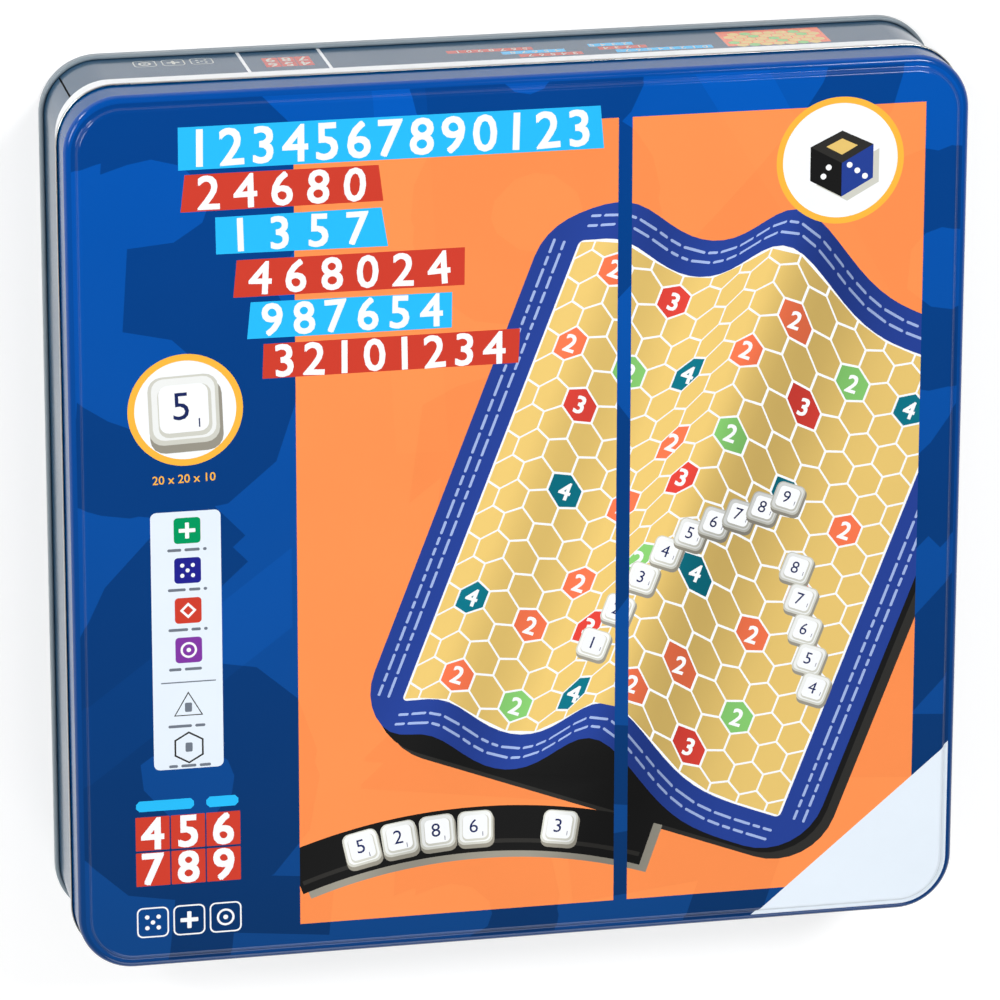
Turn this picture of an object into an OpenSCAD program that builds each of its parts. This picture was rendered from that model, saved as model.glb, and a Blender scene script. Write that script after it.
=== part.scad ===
// Square slip-lid tin for a word tile game, lying flat with its lid up.
// Origin: middle of the underside of the base seam. +Z is up, through the lid.
// Everything that the tin is packed with lies inside: mat, tray, tiles, racks and leaflet.

/* [Tin] */
// Width of the lid across its skirt, the same both ways
lid_w = 240; // [230:0.5:260]
// Radius of the lid's corners seen from above
corner_r = 15; // [12:0.5:18]
// Height of the closed tin
tin_h = 45; // [45:0.5:60]
// Thickness of the tinplate
sheet = 0.35; // [0.3:0.05:0.4]

/* [Lid] */
// Depth of the skirt below the rim
skirt_h = 11.8; // [8:0.2:14]
// Radius of the rolled edge at the foot of the skirt
roll_r = 0.5; // [0.45:0.05:0.6]
// Radius where the skirt turns into the rim
rim_r = 1.8; // [1.4:0.1:2.4]
// Width of the flat rim round the raised panel
rim_flat = 0.6; // [0.3:0.1:3]
// Rise of the panel above the rim
panel_rise = 1.2; // [0.6:0.1:1.6]
// Bend radius of the step up to the panel
step_r = 1; // [0.9:0.1:1.4]
// Play between the skirt and the wall of the body
lid_play = 0.35; // [0.2:0.05:0.5]

/* [Body] */
// Radius of the rolled edge round the mouth
mouth_r = 0.8; // [0.6:0.05:1]
// Gap between the mouth and the underside of the lid's rim
mouth_gap = 0.4; // [0.3:0.05:1]
// Height of the double seam that joins wall and base
seam_h = 2.8; // [2.4:0.1:3.4]
// Rise of the middle of the base above its border
base_rise = 0.8; // [0.4:0.1:1.2]
// Width of the base's border between the seam and its step
base_border = 9; // [6:0.5:14]
// Bend radius inside the base
base_r = 0.8; // [0.6:0.05:1]
// Outer radius of the seam's foot
foot_r = 0.5; // [0.4:0.05:0.6]
// Height of the base's border above the table
base_lift = 1.9; // [1.6:0.1:2.2]
// Width of the folded side seam at one corner of the wall
lap_w = 3.6; // [2:0.2:5]

/* [Tiles] */
// Side of a letter tile
tile_w = 20; // [18:0.5:20.5]
// Thickness of a letter tile
tile_h = 10; // [7:0.5:10.5]
// Corner radius of a letter tile
tile_r = 4; // [3:0.25:5]
// Height of the tile's broad foot
tile_foot = 6.8; // [4:0.2:6.8]
// Width of the ledge round the tile's raised face
tile_ledge = 1.4; // [1:0.1:2]
// Width of the slope between the ledge and the raised face
tile_slope = 0.9; // [0.5:0.1:1.2]
// Gap between neighbouring tiles
tile_gap = 0.6; // [0.4:0.1:0.8]
// Layers of tiles in the bay
tile_layers = 2; // [1:1:2]

/* [Racks] */
// Length of a tile rack
rack_l = 168; // [120:1:180]
// Width of a tile rack
rack_w = 22; // [20:0.5:23]
// Height of a tile rack
rack_h = 16; // [13:0.5:18]
// Wall of the moulded rack
rack_wall = 1.6; // [1.2:0.1:2]
// Height of the lip that keeps the tiles from sliding off
rack_lip = 5.5; // [4.5:0.25:7]
// Ribs across the hollow underside
rack_ribs = 3; // [1:1:6]

/* [Tray] */
// Thickness of the vacuum-formed tray
tray_t = 0.6; // [0.5:0.05:0.8]
// Play between the tray and the mouth of the tin
tray_play = 0.7; // [0.5:0.1:1.5]
// Outward slope of each pocket wall from floor to mouth
draft = 1; // [0.5:0.1:1.4]
// Width of the bar between the tile bay and the racks
bar_w = 8; // [7:0.5:8]
// Width of the tray's flat edge beside its pockets
side_w = 9; // [8:0.5:9.4]
// Width of the tray's flat edge outside a thumb scoop
scoop_side = 3.4; // [3:0.2:5]
// Radius round the floor of each pocket
fillet_r = 0.8; // [0.5:0.1:0.8]
// Radius round the mouth of each pocket
flare_r = 1; // [0.8:0.1:1.1]
// Depth of the tray's turned-down edge
edge_drop = 5; // [3:0.5:8]
// Room between the tray's top and the highest tile
head_gap = 2; // [1:0.5:4]
// Width of the finger channel across the racks
channel_w = 34; // [24:1:50]
// Depth of the finger channel across the racks
channel_h = 14; // [8:0.5:16]
// Radius of the thumb scoops at the ends of the tile bay
scoop_r = 10; // [8:0.5:11]
// Depth of the thumb scoops
scoop_h = 15; // [8:0.5:18]

/* [Mat and leaflet] */
// Side of the play mat folded in four, over its folds
mat_w = 196; // [150:1:205]
// Thickness of the folded mat
mat_h = 11; // [8:0.5:12]
// Width of the folded leaflet
leaf_w = 148; // [105:1:200]
// Length of the folded leaflet
leaf_l = 210; // [148:1:215]
// Thickness of the folded leaflet
leaf_h = 1.2; // [0.8:0.1:2]

/* [Fits] */
// Gap between things that only lie on each other
seat_gap = 0.3; // [0.2:0.05:0.4]
// Play round a tile group in its bay
bay_play = 0.3; // [0.25:0.05:0.6]
// Play round a rack in its slot
slot_play = 0.5; // [0.4:0.05:0.8]
// Gap between the folded layers of the double seam
layer_gap = 0.05; // [0.03:0.01:0.08]

/* [Hidden] */
$fn = 48;

// Steps along a quarter turn of a bend in the sheet
bend_steps = 5;
// Small overlap that joins solids of one piece
join = 1;

// Lid, with x measured from the outer face of the skirt
rim_z = tin_h - panel_rise;
skirt_z = rim_z - skirt_h;
step_a = acos(1 - panel_rise / (2 * step_r));
step_x0 = -(rim_r + rim_flat);
step_x1 = step_x0 - 2 * step_r * sin(step_a);

// Body wall, on the same zero line
wall_x = -sheet - lid_play;
wall_mid = wall_x - sheet / 2;
wall_r = corner_r + wall_x;
mouth_z = rim_z - sheet - mouth_gap;
mouth_in = wall_x - 2 * mouth_r;

// Double seam: five layers side by side, from the base's inner wall outwards
layer = sheet + layer_gap;
base_in_x = wall_mid - layer;
base_hook_x = wall_mid + layer;
wall_hook_x = wall_mid + 2 * layer;
seam_x = wall_mid + 3 * layer;
foot_mid = foot_r - sheet / 2;
wall_turn_z = sheet + layer_gap + layer + sheet / 2;
seam_turn_z = seam_h - layer - sheet / 2;

// Base, raised off the table by its seam
border_mid = base_lift + sheet / 2;
middle_mid = border_mid + base_rise;
base_top = middle_mid + sheet / 2;
base_a = acos(1 - base_rise / (2 * base_r));
base_x0 = base_in_x - base_r - base_border;
base_x1 = base_x0 - 2 * base_r * sin(base_a);

// Rows of tiles and racks, one node for each
tile_rows = 10;
rack_count = 4;

// Stack of contents
mat_z = base_top + seat_gap;
tray_z = mat_z + mat_h + seat_gap;
floor_z = tray_z + tray_t;
tile_z = floor_z + seat_gap;
tile_step = tile_h + seat_gap;
tray_top = tile_z + tile_layers * tile_step + head_gap;
pocket_h = tray_top - floor_z;
leaf_z = tray_top + seat_gap;

// Tray plan: tile bay on the left, as many tiles across as fit, racks in what is left
tray_w = lid_w + 2 * (mouth_in - tray_play);
tray_r = corner_r + mouth_in - tray_play;
tray_in = tray_w / 2 - side_w;
pitch = tile_w + tile_gap;
tile_cols = floor((tray_in - bar_w / 2 - 2 * bay_play + tile_gap) / pitch);
bay_x = tile_cols * pitch - tile_gap + 2 * bay_play;
bay_y = tile_rows * pitch - tile_gap + 2 * bay_play;
bay_mid = bay_x / 2 - tray_in;
slot_x = rack_w + 2 * slot_play;
slot_y = rack_l + 2 * slot_play;
racks_x = 2 * tray_in - bay_x - bar_w;
racks_mid = tray_in - racks_x / 2;
rack_pitch = (racks_x - slot_x) / (rack_count - 1);
scoop_y = tray_w / 2 - scoop_side - scoop_r;
// Corner radii of the pockets, small enough for what lies in them
bay_r = 3;
slot_r = 1;
channel_r = 6;
edge_r = 1.5;
// Overlap between the middle of a pocket and the section swept round it
pocket_lap = 0.1;

// Rack section, with x across the rack from its front and a back that slopes at 45 degrees
lip_w = 2.2;
lip_round = 0.8;
ledge_z = 2.6;
crest_r = 1.2;
crest_turn = 8;
slope_x = lip_w + rack_lip - ledge_z;
crest_x = slope_x + rack_h - ledge_z - crest_r + crest_r * sqrt(2);
rear_lean = (rack_w - crest_x - crest_r) / (rack_h - crest_r);
void_x = slope_x - ledge_z + rack_wall * sqrt(2);
void_top = (rack_w - rack_wall - void_x - join) / (1 + rear_lean);

// Points along a bend about c, from angle a0 to a1
function arc(c, r, a0, a1, n = bend_steps) =
    [for (i = [0:n]) c + r * [cos(a0 + (a1 - a0) * i / n), sin(a0 + (a1 - a0) * i / n)]];

// One face of a bent sheet. A bend is [centre, middle radius, first angle, last angle];
// one with no turn is a plain end of the sheet. side is 1 for the right-hand face.
function face(bends, t, side) = [for (b = bends)
    let (turn = b[3] - b[2], r = b[1] + side * (turn < 0 ? -1 : 1) * t / 2)
    each turn == 0 ? [b[0] + r * [cos(b[2]), sin(b[2])]]
        : arc(b[0], r, b[2], b[3], ceil(abs(turn) / 90 * bend_steps))];

function reversed(list) = [for (i = [len(list) - 1:-1:0]) list[i]];

// Section through a sheet that runs straight between its bends
module bent(bends, t = sheet) {
    polygon(concat(face(bends, t, 1), reversed(face(bends, t, -1))));
}

module rounded_rect(x, y, r) {
    square([x - 2 * r, y], center = true);
    square([x, y - 2 * r], center = true);
    for (i = [-1, 1], j = [-1, 1])
        translate([i * (x / 2 - r), j * (y / 2 - r)]) circle(r);
}

// Carries a section round a rounded rectangle; its x is measured outwards from the edge
module swept(x, y, r) {
    for (i = [0:3]) {
        side = (i % 2 == 0 ? x : y) / 2;
        run = (i % 2 == 0 ? y : x) - 2 * r;
        rotate([0, 0, 90 * i]) {
            translate([side, 0, 0])
                rotate([90, 0, 0]) linear_extrude(run, center = true) children();
            translate([side - r, run / 2, 0])
                rotate_extrude(angle = 90) translate([r, 0]) children();
        }
    }
}

module round_tin() {
    swept(lid_w, lid_w, corner_r) children();
}

// Flat sheet whose edge lies at x on the tin's zero line
module tin_plate(x, z) {
    translate([0, 0, z])
        linear_extrude(sheet) rounded_rect(lid_w + 2 * x, lid_w + 2 * x, corner_r + x);
}

// Rolled foot, skirt, rounded rim and a step up to the flat panel
module lid_shell() {
    color("royalblue") {
        round_tin() bent([
            [[roll_r - sheet, skirt_z + roll_r], roll_r - sheet / 2, 430, 180],
            [[-rim_r, rim_z - rim_r], rim_r - sheet / 2, 0, 90],
            [[step_x0, rim_z - sheet / 2 + step_r], step_r, -90, -90 - step_a],
            [[step_x1, tin_h - sheet / 2 - step_r], step_r, 90 - step_a, 90],
            [[step_x1 - join, tin_h - sheet / 2], 0, 90, 90]
        ]);
        tin_plate(step_x1, tin_h - sheet);
    }
}

// Wall hooked into the base's seam, with a rolled mouth and a folded seam at one corner
module body_wall() {
    corner = lid_w / 2 - corner_r;
    lap_turn = lap_w / wall_r * 180 / PI;
    lap_z = seam_h + sheet;
    lap_h = mouth_z - 2 * mouth_r - sheet - lap_z;
    groove_w = 0.3;
    groove_d = sheet / 3;
    color("slategray") difference() {
        union() {
            round_tin() bent([
                [[wall_hook_x, seam_turn_z], 0, -180, -180],
                [[base_hook_x, wall_turn_z], layer, 0, -180],
                [[wall_x - mouth_r, mouth_z - mouth_r], mouth_r - sheet / 2, 0, 280]
            ]);
            translate([-corner, corner, lap_z]) rotate([0, 0, 135])
                rotate_extrude(angle = lap_turn)
                    translate([wall_r - 2 * sheet, 0]) square([1.5 * sheet, lap_h]);
        }
        translate([-corner, corner, lap_z]) rotate([0, 0, 135])
            translate([wall_r - groove_d, -groove_w / 2, 0])
                cube([join, groove_w, lap_h]);
    }
}

// Base folded round the wall's hook, with a raised middle
module base_panel() {
    color("silver") {
        round_tin() bent([
            [[base_hook_x, wall_turn_z], 0, 0, 0],
            [[wall_hook_x, seam_turn_z], layer, 180, 0],
            [[seam_x - foot_mid, foot_r], foot_mid, 0, -90],
            [[base_in_x + foot_mid, foot_r], foot_mid, -90, -180],
            [[base_in_x - base_r, border_mid - base_r], base_r, 0, 90],
            [[base_x0, border_mid + base_r], base_r, -90, -90 - base_a],
            [[base_x1, middle_mid - base_r], base_r, 90 - base_a, 90],
            [[base_x1 - join, middle_mid], 0, 90, 90]
        ]);
        tin_plate(base_x1, base_top - sheet);
    }
}

// Play mat folded in four: two leaves along one edge, one broad fold along another
module play_mat() {
    leaf = mat_h / 2;
    flat_w = mat_w - leaf;
    color("midnightblue") translate([-mat_w / 2, -mat_w / 2, mat_z]) {
        translate([leaf, leaf / 2, 0]) cube([flat_w, mat_w - leaf / 2, mat_h]);
        translate([leaf, leaf / 2, leaf])
            rotate([-90, 0, 0]) cylinder(mat_w - leaf / 2, r = leaf);
        for (i = [0, 1])
            translate([leaf, leaf / 2, leaf * (i + 0.5)])
                rotate([0, 90, 0]) cylinder(flat_w, r = leaf / 2);
    }
}

// Side of a hollow of depth h: floor fillet, leaning wall and flared mouth, carried up by rise
module pocket_side(h, fillet, flare, rise, inner) {
    lean = draft * (h - fillet - flare) / (pocket_h - fillet_r - flare_r);
    polygon(concat(
        [[inner, 0]],
        arc([-fillet, fillet], fillet, -90, 0),
        arc([lean + flare, h - flare], flare, 180, 90),
        [[lean + flare, h + rise], [inner, h + rise]]
    ));
}

// Hollow with a flat floor at z = 0
module pocket(x, y, r, h, fillet, flare, rise) {
    linear_extrude(h + rise) rounded_rect(x - 2 * fillet, y - 2 * fillet, r - fillet);
    swept(x, y, r) pocket_side(h, fillet, flare, rise, -fillet - pocket_lap);
}

// All hollows of the tray, grown by t into the form of its underside
module pockets(t) {
    fillet = fillet_r + t;
    flare = flare_r - t;
    rise = t > 0 ? t / 2 : join;
    low = floor_z - t;
    translate([bay_mid, 0, low])
        pocket(bay_x + 2 * t, bay_y + 2 * t, bay_r + t, pocket_h, fillet, flare, rise);
    for (i = [0:rack_count - 1])
        translate([rack_x(i), 0, low])
            pocket(slot_x + 2 * t, slot_y + 2 * t, slot_r + t, pocket_h, fillet, flare, rise);
    translate([racks_mid, 0, tray_top - channel_h - t])
        pocket(racks_x + 2 * t, channel_w + 2 * t, channel_r + t, channel_h, fillet, flare, rise);
    for (j = [-1, 1])
        translate([bay_mid, j * scoop_y, tray_top - scoop_h - t])
            cylinder(scoop_h + rise, r = scoop_r + t);
}

function rack_x(i) = racks_mid + (i - (rack_count - 1) / 2) * rack_pitch;

// Vacuum-formed tray: a deep bay for tiles, four rack slots and finger hollows
module insert_tray() {
    color("dimgray") difference() {
        union() {
            translate([0, 0, tray_top - tray_t])
                linear_extrude(tray_t)
                    rounded_rect(tray_w - 2 * edge_r, tray_w - 2 * edge_r, tray_r - edge_r);
            swept(tray_w, tray_w, tray_r) bent([
                [[-tray_t / 2, tray_top - edge_drop], 0, 0, 0],
                [[-edge_r, tray_top - edge_r], edge_r - tray_t / 2, 0, 90],
                [[-edge_r - join, tray_top - tray_t / 2], 0, 90, 90]
            ], tray_t);
            pockets(tray_t);
        }
        pockets(0);
    }
}

// Letter tile with a broad foot and a raised face, its underside at z = 0
module tile() {
    face_w = tile_w - 2 * tile_ledge;
    face_r = tile_r - tile_ledge;
    face_h = tile_h - tile_foot;
    linear_extrude(tile_foot) rounded_rect(tile_w, tile_w, tile_r);
    translate([0, 0, tile_foot]) {
        linear_extrude(face_h)
            rounded_rect(face_w - 2 * tile_slope, face_w - 2 * tile_slope, face_r - tile_slope);
        swept(face_w, face_w, face_r) polygon([
            [-2 * tile_slope, 0], [0, 0], [-tile_slope, face_h], [-2 * tile_slope, face_h]
        ]);
    }
}

// One row across the bay, row 1 at the back, in every layer
module tile_row(row) {
    y = ((tile_rows + 1) / 2 - row) * pitch;
    color("ivory")
        for (k = [0:tile_layers - 1], i = [0:tile_cols - 1])
            translate([bay_mid + (i - (tile_cols - 1) / 2) * pitch, y, tile_z + k * tile_step])
                tile();
}

// Section of a rack: a lip, a ledge square to the sloping back, and the back's crest
module rack_section() {
    polygon(concat(
        [[0, 0]],
        arc([lip_round, rack_lip - lip_round], lip_round, 180, 90),
        [[lip_w, rack_lip], [slope_x, ledge_z]],
        arc([crest_x, rack_h - crest_r], crest_r, 135, crest_turn),
        [[rack_w, 0]]
    ));
}

// Hollow under the sloping back
module rack_void() {
    polygon([
        [void_x - join, -join],
        [void_x + void_top, void_top],
        [void_x + void_top + join, void_top],
        [rack_w - rack_wall + rear_lean, -join]
    ]);
}

module rack(i) {
    cells = rack_ribs + 1;
    cell_l = (rack_l - (cells + 1) * rack_wall) / cells;
    color("black") translate([rack_x(i) - rack_w / 2, rack_l / 2, tile_z]) rotate([90, 0, 0])
        difference() {
            linear_extrude(rack_l) rack_section();
            for (k = [0:cells - 1])
                translate([0, 0, rack_wall + k * (cell_l + rack_wall)])
                    linear_extrude(cell_l) rack_void();
        }
}

// Folded sheet of rules on top of the tray
module rules_leaflet() {
    color("white") translate([0, 0, leaf_z]) {
        translate([-leaf_w / 2 + leaf_h / 2, -leaf_l / 2, 0])
            cube([leaf_w - leaf_h / 2, leaf_l, leaf_h]);
        translate([-leaf_w / 2 + leaf_h / 2, -leaf_l / 2, leaf_h / 2])
            rotate([-90, 0, 0]) cylinder(leaf_l, r = leaf_h / 2);
    }
}

lid_shell();
body_wall();
base_panel();
play_mat();
insert_tray();
tile_row(1);  // tile_row_01
tile_row(2);  // tile_row_02
tile_row(3);  // tile_row_03
tile_row(4);  // tile_row_04
tile_row(5);  // tile_row_05
tile_row(6);  // tile_row_06
tile_row(7);  // tile_row_07
tile_row(8);  // tile_row_08
tile_row(9);  // tile_row_09
tile_row(10);  // tile_row_10
rack(0);  // rack_1
rack(1);  // rack_2
rack(2);  // rack_3
rack(3);  // rack_4
rules_leaflet();
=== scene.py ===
# Looks of a slip-lid game tin: printed lid and wall, bare metal inside, and everything it is packed with.
import math
import random

import bpy
from mathutils import Matrix, Vector
from mathutils.geometry import delaunay_2d_cdt


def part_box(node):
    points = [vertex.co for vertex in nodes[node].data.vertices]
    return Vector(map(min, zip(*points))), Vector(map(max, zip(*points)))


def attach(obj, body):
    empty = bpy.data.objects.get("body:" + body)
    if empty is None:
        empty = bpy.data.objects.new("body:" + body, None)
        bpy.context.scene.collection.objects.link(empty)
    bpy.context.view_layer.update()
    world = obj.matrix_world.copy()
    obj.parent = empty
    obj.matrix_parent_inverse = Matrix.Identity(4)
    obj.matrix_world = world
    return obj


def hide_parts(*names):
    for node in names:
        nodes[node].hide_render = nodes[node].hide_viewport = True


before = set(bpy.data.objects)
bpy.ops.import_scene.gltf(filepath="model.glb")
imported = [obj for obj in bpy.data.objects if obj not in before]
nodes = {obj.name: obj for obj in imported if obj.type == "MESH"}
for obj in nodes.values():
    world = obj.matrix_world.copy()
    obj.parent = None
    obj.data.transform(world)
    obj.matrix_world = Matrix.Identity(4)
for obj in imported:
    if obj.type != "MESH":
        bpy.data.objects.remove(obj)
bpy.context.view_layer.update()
mm = 0.001
print("frame loaded:", len(nodes), "nodes")


def shade(red, green, blue):
    # screen colour, 0 to 255, as the shader's numbers
    return tuple(c / 255 / 12.92 if c < 11 else ((c / 255 + 0.055) / 1.055) ** 2.4
                 for c in (red, green, blue))


inks = {name: shade(*colour) for name, colour in {
    "groundBack": (0, 84, 178), "groundFront": (14, 66, 128), "orange": (255, 146, 82),
    "cyan": (40, 186, 246), "red": (204, 62, 46), "white": (246, 248, 250), "gold": (250, 184, 66),
    "navy": (38, 64, 146), "tan": (228, 194, 112), "coral": (244, 118, 78), "green": (134, 202, 112),
    "teal": (12, 112, 130), "scarlet": (222, 68, 58), "black": (26, 26, 26), "coal": (48, 47, 45),
    "bone": (206, 206, 196), "stone": (150, 146, 134), "grey": (112, 120, 132), "slateInkAndSheen": (134, 146, 154),
    "letter": (28, 40, 92), "emerald": (0, 150, 92), "indigo": (34, 34, 140), "violet": (128, 56, 160),
    "pale": (158, 178, 224), "wallNavy": (36, 76, 106), "seam": (8, 9, 12), "ivory": (236, 238, 236),
    "frost": (228, 238, 248), "skirtBlue": (0, 78, 142)}.items()}


# Camera, from the photograph's straight edges
view = {"place": (-338.56, 542.6, 1637.38), "right": (0.97899, 0.00124, 0.20391),
        "up": (0.06278, 0.94957, -0.3072), "forward": (0.19401, -0.31354, -0.92954), "lens": 234}


def makeCamera():
    lens = bpy.data.cameras.new("photoCamera")
    lens.lens, lens.sensor_width = view["lens"], 36
    lens.clip_start, lens.clip_end = 0.1, 50
    camera = bpy.data.objects.new("photoCamera", lens)
    turn = Matrix((view["right"], view["up"], tuple(-v for v in view["forward"]))).transposed()
    camera.matrix_world = Matrix.Translation(Vector(view["place"]) * mm) @ turn.to_4x4()
    bpy.context.scene.collection.objects.link(camera)
    bpy.context.scene.camera = camera


# Node trees: small letters set the node, capitals an input; a pair links the input to a node's output
def feed(tree, node, **values):
    for key, value in values.items():
        if key[0].islower():
            setattr(node, key, value)
            continue
        number = key.removeprefix("In")
        socket = node.inputs[int(number) if number.isdigit() else key.replace("_", " ")]
        if isinstance(value, tuple) and isinstance(value[0], bpy.types.Node):
            tree.links.new(value[0].outputs[value[1]], socket)
        else:
            socket.default_value = value
    return node


def addNode(tree, kind, **values):
    return feed(tree, tree.nodes.new(kind), **values)


def placeGroup(tree, group, **values):
    return addNode(tree, "ShaderNodeGroup", node_tree=group, **values)


def newGroup(name, outputs, **inputs):
    # an input is a colour where its value is one
    group = bpy.data.node_groups.new(name, "ShaderNodeTree")
    for label, value in inputs.items():
        kind = "NodeSocketColor" if isinstance(value, tuple) else "NodeSocketFloat"
        socket = group.interface.new_socket(name=label, in_out="INPUT", socket_type=kind)
        socket.default_value = value
    for label in outputs:
        kind = "NodeSocketColor" if label == "Colour" else "NodeSocketFloat"
        group.interface.new_socket(name=label, in_out="OUTPUT", socket_type=kind)
    return group, group.nodes.new("NodeGroupInput"), group.nodes.new("NodeGroupOutput")


def makeSmudge():
    # handling marks: roughness drifts between two values in broad soft patches
    group, inlet, outlet = newGroup("handlingSmudge", ["Roughness"], Scale=30, Low=0.2, High=0.35)
    place = addNode(group, "ShaderNodeTexCoord")
    noise = addNode(group, "ShaderNodeTexNoise", Vector=(place, "Object"), Scale=(inlet, "Scale"), Detail=4,
                    Roughness=0.6, Distortion=0.4)
    spread = addNode(group, "ShaderNodeMapRange", Value=(noise, "Fac"), From_Min=0.35, From_Max=0.68,
                     To_Min=(inlet, "Low"), To_Max=(inlet, "High"))
    feed(group, outlet, Roughness=(spread, "Result"))
    return group


def makeRipple():
    # fine unevenness of a lacquered or moulded surface, as a height
    group, inlet, outlet = newGroup("surfaceRipple", ["Height"], Scale=900, Pitting=0.3)
    place = addNode(group, "ShaderNodeTexCoord")
    swell = addNode(group, "ShaderNodeTexNoise", Vector=(place, "Object"), Scale=(inlet, "Scale"), Detail=2)
    finer = addNode(group, "ShaderNodeMath", operation="MULTIPLY", In0=(inlet, "Scale"), In1=2.3)
    pits = addNode(group, "ShaderNodeTexVoronoi", Vector=(place, "Object"), Scale=(finer, "Value"),
                   Randomness=1)
    deep = addNode(group, "ShaderNodeMath", operation="MULTIPLY", In0=(pits, "Distance"),
                   In1=(inlet, "Pitting"))
    total = addNode(group, "ShaderNodeMath", operation="ADD", In0=(swell, "Fac"), In1=(deep, "Value"))
    feed(group, outlet, Height=(total, "Value"))
    return group


def makeTint():
    # small change of strength over a colour, as in ink, cloth and plastic
    group, inlet, outlet = newGroup("toneDrift", ["Colour"], Colour=(1, 1, 1, 1), Scale=60, Drift=0.08)
    place = addNode(group, "ShaderNodeTexCoord")
    noise = addNode(group, "ShaderNodeTexNoise", Vector=(place, "Object"), Scale=(inlet, "Scale"), Detail=6,
                    Roughness=0.65)
    low = addNode(group, "ShaderNodeMath", operation="SUBTRACT", In0=1, In1=(inlet, "Drift"))
    spread = addNode(group, "ShaderNodeMapRange", Value=(noise, "Fac"), From_Min=0.3, From_Max=0.7,
                     To_Min=(low, "Value"), To_Max=1)
    scaled = addNode(group, "ShaderNodeVectorMath", operation="SCALE", In0=(inlet, "Colour"),
                     Scale=(spread, "Result"))
    feed(group, outlet, Colour=(scaled, "Vector"))
    return group


def makeKnit():
    # fine knitted face: two crossed waves give a height and a mask of the gaps between threads
    group, inlet, outlet = newGroup("knitFace", ["Height", "Gaps"], Scale=900)
    place = addNode(group, "ShaderNodeTexCoord")
    waves = [addNode(group, "ShaderNodeTexWave", bands_direction=way, Vector=(place, "Object"),
                     Scale=(inlet, "Scale"), Distortion=1.2, Detail=1) for way in ("X", "Y")]
    product = addNode(group, "ShaderNodeMath", operation="MULTIPLY", In0=(waves[0], "Fac"),
                      In1=(waves[1], "Fac"))
    gaps = addNode(group, "ShaderNodeMapRange", Value=(product, "Value"), From_Min=0.25, From_Max=0)
    feed(group, outlet, Height=(product, "Value"), Gaps=(gaps, "Result"))
    return group


smudge, ripple, tint, knit = makeSmudge(), makeRipple(), makeTint(), makeKnit()
print("shared shader groups made")


def newFinish(name, **sockets):
    finish = bpy.data.materials.new(name)
    finish.use_nodes = True
    tree = finish.node_tree
    return finish, tree, feed(tree, tree.nodes["Principled BSDF"], **sockets)


def readInk(tree, drift, scale):
    ink = addNode(tree, "ShaderNodeAttribute", attribute_name="ink")
    return placeGroup(tree, tint, Scale=scale, Drift=drift, Colour=(ink, "Color")), "Colour"


def addSurface(tree, shader, colour, patches, low, high, height=None, strength=0, distance=0):
    # colour, handling marks and fine relief of a finish
    marks = placeGroup(tree, smudge, Scale=patches, Low=low, High=high)
    feed(tree, shader, Base_Color=colour, Roughness=(marks, "Roughness"))
    if height:
        bump = addNode(tree, "ShaderNodeBump", Height=height, Strength=strength, Distance=distance)
        feed(tree, shader, Normal=(bump, "Normal"))


def makePrintedTin(name, low, high, level=0.33):
    # printed and varnished tinplate: ink under a clear gloss with soft handling marks
    finish, tree, shader = newFinish(name, IOR=1.48, Coat_Weight=0.08, Coat_Roughness=0.03,
                                     Specular_IOR_Level=level)
    skin = placeGroup(tree, ripple, Scale=160, Pitting=0)
    addSurface(tree, shader, readInk(tree, 0.04, 25), 26, low, high, (skin, "Height"), 0.03, 0.0002)
    return finish


def makeBareTin():
    # inside of the sheet: clear-lacquered tinplate with the faint grain of the rolling mill
    finish, tree, shader = newFinish("bareTin", Metallic=1)
    place = addNode(tree, "ShaderNodeTexCoord")
    stretch = addNode(tree, "ShaderNodeMapping", Vector=(place, "Object"), Scale=(30, 1400, 1400))
    grain = addNode(tree, "ShaderNodeTexNoise", Vector=(stretch, "Vector"), Scale=1, Detail=3)
    ramp = addNode(tree, "ShaderNodeValToRGB", Fac=(grain, "Fac"))
    ramp.color_ramp.elements[0].color = (*shade(166, 168, 168), 1)
    ramp.color_ramp.elements[1].color = (*shade(206, 206, 202), 1)
    addSurface(tree, shader, (ramp, "Color"), 18, 0.24, 0.42, (grain, "Fac"), 0.12, 0.0001)
    return finish


def makePlastic(name, low, high, skinScale, pitting, strength, colour=None, **sockets):
    # moulded or formed plastic; without a colour of its own it reads the printed ink
    finish, tree, shader = newFinish(name, **sockets)
    if colour is None:
        ground = readInk(tree, 0.04, 90)
    else:
        ground = placeGroup(tree, tint, Colour=(*colour, 1), Scale=45, Drift=0.25), "Colour"
    skin = placeGroup(tree, ripple, Scale=skinScale, Pitting=pitting)
    addSurface(tree, shader, ground, 40, low, high, (skin, "Height"), strength, 0.0003)
    return finish


def makeCloth():
    # printed knit on the mat's upper face
    finish, tree, shader = newFinish("matCloth", Sheen_Weight=0.25, Sheen_Roughness=0.4)
    threads = placeGroup(tree, knit, Scale=420)
    dark = addNode(tree, "ShaderNodeMix", data_type="RGBA", blend_type="MULTIPLY", Factor=(threads, "Gaps"),
                   A=readInk(tree, 0.14, 260), B=(0.72, 0.72, 0.74, 1))
    addSurface(tree, shader, (dark, "Result"), 30, 0.72, 0.9, (threads, "Height"), 0.4, 0.0003)
    return finish


def makePaper():
    # uncoated paper with fibres, lightly printed
    finish, tree, shader = newFinish("leafletPaper", Specular_IOR_Level=0.25)
    fibres = placeGroup(tree, ripple, Scale=1500, Pitting=0.6)
    addSurface(tree, shader, readInk(tree, 0.07, 600), 50, 0.75, 0.88, (fibres, "Height"), 0.25, 0.0001)
    return finish


def makeJoint():
    # the open side seam, too narrow to shine
    finish, tree, shader = newFinish("sideSeam", Specular_IOR_Level=0.05)
    addSurface(tree, shader, readInk(tree, 0.1, 60), 60, 0.8, 0.95)
    return finish


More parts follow.
